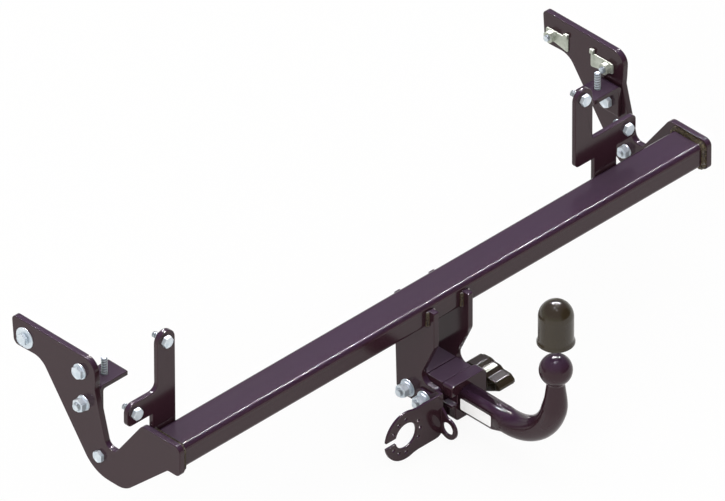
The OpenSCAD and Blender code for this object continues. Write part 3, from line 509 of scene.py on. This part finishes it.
def thread(radius, pitch, length, depth=0.14):
    """A right-hand thread up +Z: a cam-shaped ring that a Screw modifier turns and raises.

    The groove attribute runs from 0 on the crest to 1 in the root, for the finish's painted shade in the
    roots.
    """
    flank, steps, near = 1.25, 10, pitch * 0.01
    turns = max(3, round(length / pitch))
    rod = start("circle", vertices=18, radius=radius)
    with Editing(rod, "VERT"):
        ring = bmesh.from_edit_mesh(rod.data)
        for corner in ring.verts:
            share = math.atan2(corner.co.y, corner.co.x) / math.tau % 1
            crest = min(1, flank * (1 - abs(2 * share - 1)))
            corner.co *= 1 - depth * (1 - crest)
        bmesh.update_edit_mesh(rod.data)
    apply(rod, "SCREW", axis="Z", angle=math.tau, screw_offset=length / turns, iterations=turns,
          steps=steps, render_steps=steps, use_merge_vertices=False)
    groove = rod.data.attributes.new("groove", "FLOAT", "POINT")
    for corner, depth_here in zip(rod.data.vertices, groove.data):
        at_end = corner.co.z < near or corner.co.z > length - near
        depth_here.value = 0 if at_end else (1 - corner.co.xy.length / radius) / depth
    with Editing(rod, "EDGE") as work:
        for end in (0, length):
            work.pick(lambda e: e.is_boundary and all(abs(v.co.z - end) < near for v in e.verts))
            bpy.ops.mesh.edge_face_add()
        bpy.ops.mesh.select_all(action="SELECT")
        bpy.ops.mesh.normals_make_consistent(inside=False)
    return rod


def point(rod, top, height):
    """Draws the rod's free end in to a short chamfer."""
    with Editing(rod) as work:
        work.pick(lambda f: f.normal.z > 0.9 and all(abs(v.co.z - top) < 0.01 * MM for v in f.verts))
        bpy.ops.mesh.extrude_region_move(TRANSFORM_OT_translate={"value": (0, 0, height)})
        bpy.ops.transform.resize(value=(TIP_SHARE, TIP_SHARE, 1), center_override=(0, 0, 0))


def hex_bolt(diameter, corner, head, length, pitch, flange=0.0, thick=0.0, depth=0.14):
    """A bolt whose head's seat is at the origin and whose shank runs up +Z."""
    dish_share, dish_depth, dish_rim = 0.33, 0.5 * MM, 0.4 * MM
    rod = thread(diameter / 2, pitch, length - TIP, depth)
    point(rod, length - TIP, TIP)
    top = hexagon(corner, head)
    top.rotation_euler.x = math.pi
    settle(top)
    dish = start("cylinder", vertices=40, radius=corner * dish_share, depth=dish_depth,
                 location=(0, 0, -head))
    with Editing(dish) as work:
        work.pick(lambda f: abs(f.normal.z) > 0.9)
        bpy.ops.mesh.inset(thickness=dish_rim)
    carve(top, dish)
    pieces = [top]
    if flange:
        disc = start("cylinder", vertices=48, radius=flange / 2, depth=thick, location=(0, 0, thick / 2))
        apply(disc, "BEVEL", width=0.5 * MM, segments=2, limit_method="ANGLE")
        pieces.append(disc)
    for piece in pieces:
        smooth(piece, 30)
    smooth(rod, 45, False)
    return merge(top, rod, *pieces[1:])


def flange_nut(diameter, corner, height, flange, thick):
    """A flanged nut up +Z from its seat, bored and countersunk."""
    bore_play, sink_inside, sink_outside, sink_depth = 0.15 * MM, 0.2 * MM, 1.0 * MM, 1.2 * MM
    block = hexagon(corner, height + thick)
    skirt = start("cone", vertices=48, radius1=flange / 2, radius2=flange / 2 - thick * 0.35, depth=thick,
                  location=(0, 0, thick / 2))
    apply(skirt, "BEVEL", width=0.25 * MM, segments=2, limit_method="ANGLE")
    carve(block, skirt, "UNION")
    drill = start("cylinder", vertices=36, radius=diameter / 2 + bore_play, depth=height * 4)
    carve(block, drill)
    sink = start("cone", vertices=36, radius1=diameter / 2 - sink_inside,
                 radius2=diameter / 2 + sink_outside, depth=sink_depth,
                 location=(0, 0, height + thick - sink_depth / 2 + 0.01 * MM))
    carve(block, sink)
    smooth(block, 30)
    return block


def washer(outer, bore, thick):
    """A flat washer up +Z from its seat, with its rim rounded by the punch."""
    disc = start("cylinder", vertices=64, radius=outer / 2, depth=thick, location=(0, 0, thick / 2))
    carve(disc, start("cylinder", vertices=48, radius=bore / 2, depth=thick * 4))
    apply(disc, "BEVEL", width=0.4 * MM, segments=2, limit_method="ANGLE", angle_limit=math.radians(40))
    smooth(disc, 30)
    return disc


def seat(node, axis, sign, depth=0.0):
    """Where a fastener's seat is: its node's axis, and its foot on that axis, with a head's depth added."""
    low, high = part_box(node)
    middle = (low + high) / 2
    foot = middle.copy()
    foot[axis] = (low[axis] if sign > 0 else high[axis]) + sign * depth
    along = Vector((0, 0, 0))
    along[axis] = sign
    corner = (0, 0, 1) if axis == 0 else (1, 0, 0)
    return foot, along, corner


def fit(master, node, axis, sign, depth=0.0):
    """Puts a copy of a fastener in the place of its CAD node."""
    piece = twin(master)
    stand(piece, *seat(node, axis, sign, depth))
    dress(piece, f"zinc_{node}", ZINC, "frame", node)


M10, M10_CORNER, M10_HEAD, M10_PITCH = 10 * MM, 19.6 * MM, 6.4 * MM, 1.5 * MM
M12, M12_CORNER, M12_HEAD, M12_PITCH = 12 * MM, 21.9 * MM, 7.5 * MM, 1.75 * MM
RIM, WIDE_RIM, RIM_THICK, WASHER_THICK = 20 * MM, 25 * MM, 2.5 * MM, 2.5 * MM
DEEP_THREAD = 0.3

side_bolt = hex_bolt(M10, M10_CORNER, M10_HEAD, 27.9 * MM, M10_PITCH)
flanged_bolt = hex_bolt(M10, 21.6 * MM, M10_HEAD, 27.9 * MM, M10_PITCH, WIDE_RIM, RIM_THICK)
bracket_bolt = hex_bolt(M12, M12_CORNER, M12_HEAD, 36.3 * MM, M12_PITCH)
lower_bolt = hex_bolt(M10, M10_CORNER, M10_HEAD, 25.9 * MM, M10_PITCH)
upright_bolt = hex_bolt(M10, M10_CORNER, M10_HEAD, 26 * MM, 3.4 * MM, depth=DEEP_THREAD)
top_stud = hex_bolt(M10, M10_CORNER, M10_HEAD, 36 * MM, 4.5 * MM, depth=DEEP_THREAD)
right_bolt = hex_bolt(M10, M10_CORNER, M10_HEAD, 20 * MM, M10_PITCH)
small_right_bolt = hex_bolt(M10, 17.6 * MM, M10_HEAD, 20 * MM, M10_PITCH)
m12_nut = flange_nut(M12, M12_CORNER, 10.8 * MM, WIDE_RIM, RIM_THICK)
m10_nut = flange_nut(M10, M10_CORNER, 8.4 * MM, RIM, RIM_THICK)
receiver_nut = flange_nut(M12, M12_CORNER, 11 * MM, 24.4 * MM, 3 * MM)
wide_washer = washer(34 * MM, 11 * MM, WASHER_THICK)
receiver_washer = washer(28 * MM, 13 * MM, WASHER_THICK)

for side, way in (("left", 1), ("right", -1)):
    fit(side_bolt, f"chassis_bolt_front_{side}", 0, way, M10_HEAD)
    fit(flanged_bolt, f"chassis_bolt_rear_{side}", 0, way, M10_HEAD)
    fit(bracket_bolt, f"bracket_bolt_{side}", 0, -way, M12_HEAD)
    fit(lower_bolt, f"lower_bolt_{side}", 0, way, M10_HEAD)
    fit(m12_nut, f"bracket_nut_{side}", 0, -way)
    fit(m10_nut, f"lower_nut_{side}", 0, way)
    fit(wide_washer, f"chassis_washer_{side}", 0, -way)
    fit(top_stud, f"bracket_stud_{side}", 2, 1, M10_HEAD)
    for place in ("top", "side"):
        fit(upright_bolt, f"upright_bolt_{place}_{side}", 1, 1, M10_HEAD)
for end in ("front", "rear"):
    fit(receiver_nut, f"receiver_nut_{end}", 0, -1)
    fit(receiver_washer, f"receiver_washer_{end}", 0, -1)
    low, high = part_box(f"receiver_stud_{end}")
    rod_length = high.x - low.x - TIP
    stud = thread(M12 / 2, M12_PITCH, rod_length)
    point(stud, rod_length, TIP)
    smooth(stud, 70, False)
    fit(stud, f"receiver_stud_{end}", 0, -1)
    bpy.data.objects.remove(stud)
fit(right_bolt, "receiver_bolt_front", 0, -1, M10_HEAD)
fit(small_right_bolt, "receiver_bolt_rear", 0, -1, M10_HEAD)
for master in (side_bolt, flanged_bolt, bracket_bolt, lower_bolt, upright_bolt, top_stud, right_bolt,
               small_right_bolt, m12_nut, m10_nut, receiver_nut, wide_washer, receiver_washer):
    bpy.data.objects.remove(master)

# CAD pieces that keep their own shape get their finish
for node, finish in (("receiver_liner", GREY), ("locking_spindle", ZINC), ("lock_cylinder", ZINC)):
    cad[node].data.materials.clear()
    cad[node].data.materials.append(finish)


# Weld beads: a rippled cord of metal along each joint
RIPPLE, CREST, VALLEY = 1.1 * MM, 1.08, 0.86


def weld(name, route, radius, closed=False):
    """A bead along a route of points, thick and thin by turns."""
    points = [Vector(p) for p in route]
    if closed:
        points.append(points[0])
    dense = []
    for a, b in zip(points, points[1:]):
        count = max(1, round((b - a).length / RIPPLE))
        dense += [a.lerp(b, i / count) for i in range(count)]
    if not closed:
        dense.append(points[-1])
    stations = [(place, (VALLEY, CREST)[i % 2] * random.uniform(0.94, 1.06)) for i, place in enumerate(dense)]
    bead = swept(name, stations, radius, 3, closed)
    smooth(bead, 60, False)
    dress(bead, name, WELD, "frame")


def rounded_outline(x, low, high, r, steps=5):
    """Points round a tube's rounded section at one X."""
    (y0, z0), (y1, z1) = low, high
    quarters = ((y1 - r, z1 - r, 0), (y0 + r, z1 - r, 90), (y0 + r, z0 + r, 180), (y1 - r, z0 + r, 270))
    outline = []
    for y, z, first in quarters:
        for i in range(steps + 1):
            turn = math.radians(first + 90 * i / steps)
            outline.append((x, y + r * math.cos(turn), z + r * math.sin(turn)))
    return outline


TUBE_BEAD, EAR_BEAD, UNDER_BEAD = 5.4 * MM, 4.2 * MM, 3.2 * MM
TUBE_CORNER, TUBE_SWELL, TUBE_IN = 8 * MM, 0.6 * MM, 0.8 * MM
EAR_DOWN, EAR_UP, UNDER_IN = 1.5 * MM, 4 * MM, 8 * MM

beam_low, beam_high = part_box("crossbeam")
for side, x in (("left", beam_low.x + TUBE_IN), ("right", beam_high.x - TUBE_IN)):
    outline = rounded_outline(x, (beam_low.y - TUBE_SWELL, beam_low.z - TUBE_SWELL),
                              (beam_high.y + TUBE_SWELL, beam_high.z + TUBE_SWELL), TUBE_CORNER)
    weld(f"weld_beam_end_{side}", outline, TUBE_BEAD, True)
for side in ("left", "right"):
    low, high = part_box(f"hanger_plate_{side}")
    edges = (("outer", low.x), ("inner", high.x))
    for face, y in (("rear", beam_low.y), ("front", beam_high.y)):
        for edge, x in edges:
            weld(f"weld_hanger_{side}_{face}_{edge}",
                 [(x, y, high.z - EAR_DOWN), (x, y, beam_low.z + EAR_UP)], EAR_BEAD)
    for edge, x in edges:
        weld(f"weld_hanger_{side}_under_{edge}",
             [(x, beam_low.y + UNDER_IN, beam_low.z), (x, beam_high.y - UNDER_IN, beam_low.z)], UNDER_BEAD)


# Blank plate on the flat side of the neck
def blank_plate():
    thick, length, height, corner = 0.6 * MM, 62.6 * MM, 19.4 * MM, 2.2 * MM
    middle = (-16.7 * MM, 147.6 * MM, -145.4 * MM)
    plate = start("cube", size=1, location=middle, scale=(thick, length, height))
    settle(plate)
    with Editing(plate, "EDGE") as work:
        work.pick(lambda e: abs((e.verts[0].co - e.verts[1].co).normalized().x) > 0.9)
        bpy.ops.mesh.bevel(offset=corner, segments=2)
    smooth(plate, 30)
    dress(plate, "blank_plate", FILM, "neck")


blank_plate()


# Studio: a white floor that keeps the shadow, a plain sky and four far panels
WHITE = (1, 1, 1, 1)


def lay_floor():
    """White paper: camera rays see mostly its glow, all others a plain matt white."""
    glow_share, paper_white = 0.92, (0.86, 0.86, 0.86, 1)
    low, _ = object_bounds()
    floor = start("plane", size=80, location=(0, 0, low.z))
    settle(floor)
    floor.name = "floor"
    paper = bpy.data.materials.new("white_paper")
    shading = Shading(paper)
    matt = shading.node("ShaderNodeBsdfDiffuse", values={0: paper_white})
    glow = shading.node("ShaderNodeEmission", values={1: 1.0})
    seen = shading.node("ShaderNodeLightPath", output="Is Camera Ray") * glow_share
    both = shading.node("ShaderNodeMixShader", values={0: seen, 1: matt, 2: glow})
    shading.ends_in("ShaderNodeOutputMaterial", both)
    floor.data.materials.append(paper)


def fill_air():
    """A plain sky for diffuse light. Reflections see a grey room, plum overhead and dark at one corner."""
    wall, ceiling, dark_corner = (0.66, 0.68, 0.62, 1), (0.40, 0.35, 0.43, 1), (0.05, 0.022, 0.018, 1)
    sky_white, sky_level = (1.0, 0.985, 0.97, 1), 0.95
    corner_way = Vector((0.5, -0.8, 0.25)).normalized()
    world = bpy.data.worlds.new("studio_air")
    bpy.context.scene.world = world
    air = Shading(world)

    def eased(value, low, high):
        settings = {"interpolation_type": "SMOOTHSTEP"}
        return air.node("ShaderNodeMapRange", settings, {0: value, 1: low, 2: high})

    def blend(factor, first, second):
        return air.node("ShaderNodeMix", {"data_type": "RGBA"}, {0: factor, 6: first, 7: second}, 2)

    def background(colour, level):
        return air.node("ShaderNodeBackground", values={0: colour, 1: level})

    def for_rays(kind, others, these):
        chosen = air.node("ShaderNodeLightPath", output=kind)
        return air.node("ShaderNodeMixShader", values={0: chosen, 1: others, 2: these})

    way = air.node("ShaderNodeTexCoord", output="Generated")
    near_corner = air.node(
        "ShaderNodeVectorMath", {"operation": "DOT_PRODUCT"}, {0: way, 1: corner_way}, "Value"
    )
    rise = air.node("ShaderNodeSeparateXYZ", values={0: way}, output="Z")
    room = blend(eased(rise, 0.15, 0.5), wall, ceiling)
    room = blend(eased(near_corner, 0.60, 0.93), room, dark_corner)
    lit = for_rays("Is Glossy Ray", background(sky_white, sky_level), background(room, 1.0))
    air.ends_in("ShaderNodeOutputWorld", for_rays("Is Camera Ray", lit, background(WHITE, 1.0)))


def lamp(name, way, across, upright, radiance, seen_by, colour=WHITE[:3]):
    """A far panel of given half-angles in degrees, seen by diffuse rays or by glossy ones only."""
    reach = 30
    data = bpy.data.lights.new(name, "AREA")
    data.shape = "RECTANGLE"
    data.size, data.size_y = (2 * reach * math.tan(math.radians(a)) for a in (across, upright))
    data.energy, data.color = radiance * math.pi * data.size * data.size_y, colour
    made = bpy.data.objects.new(name, data)
    bpy.context.scene.collection.objects.link(made)
    made.location = Vector(way).normalized() * reach
    made.rotation_euler = (-made.location).to_track_quat("-Z", "Y").to_euler()
    if seen_by == "gloss":
        made.visible_diffuse = False
        data.use_shadow = False
        data.cycles.use_multiple_importance_sampling = False
    else:
        made.visible_glossy = False


lay_floor()
fill_air()
lamp("overhead_lamp", (0.05, 0.1, 1), 12, 12, 1.1, "diffuse")
lamp("left_fill", (-0.85, -0.3, 0.42), 14, 14, 4.4, "diffuse")
lamp("zenith_panel", (0, 0, 1), 18, 18, 3.5, "gloss", (0.95, 0.92, 1.0))
lamp("far_panel", (0.41, 0.43, 0.79), 17, 10, 24, "gloss", (1.0, 0.95, 1.0))

scene = bpy.context.scene
scene.view_settings.view_transform = "Standard"
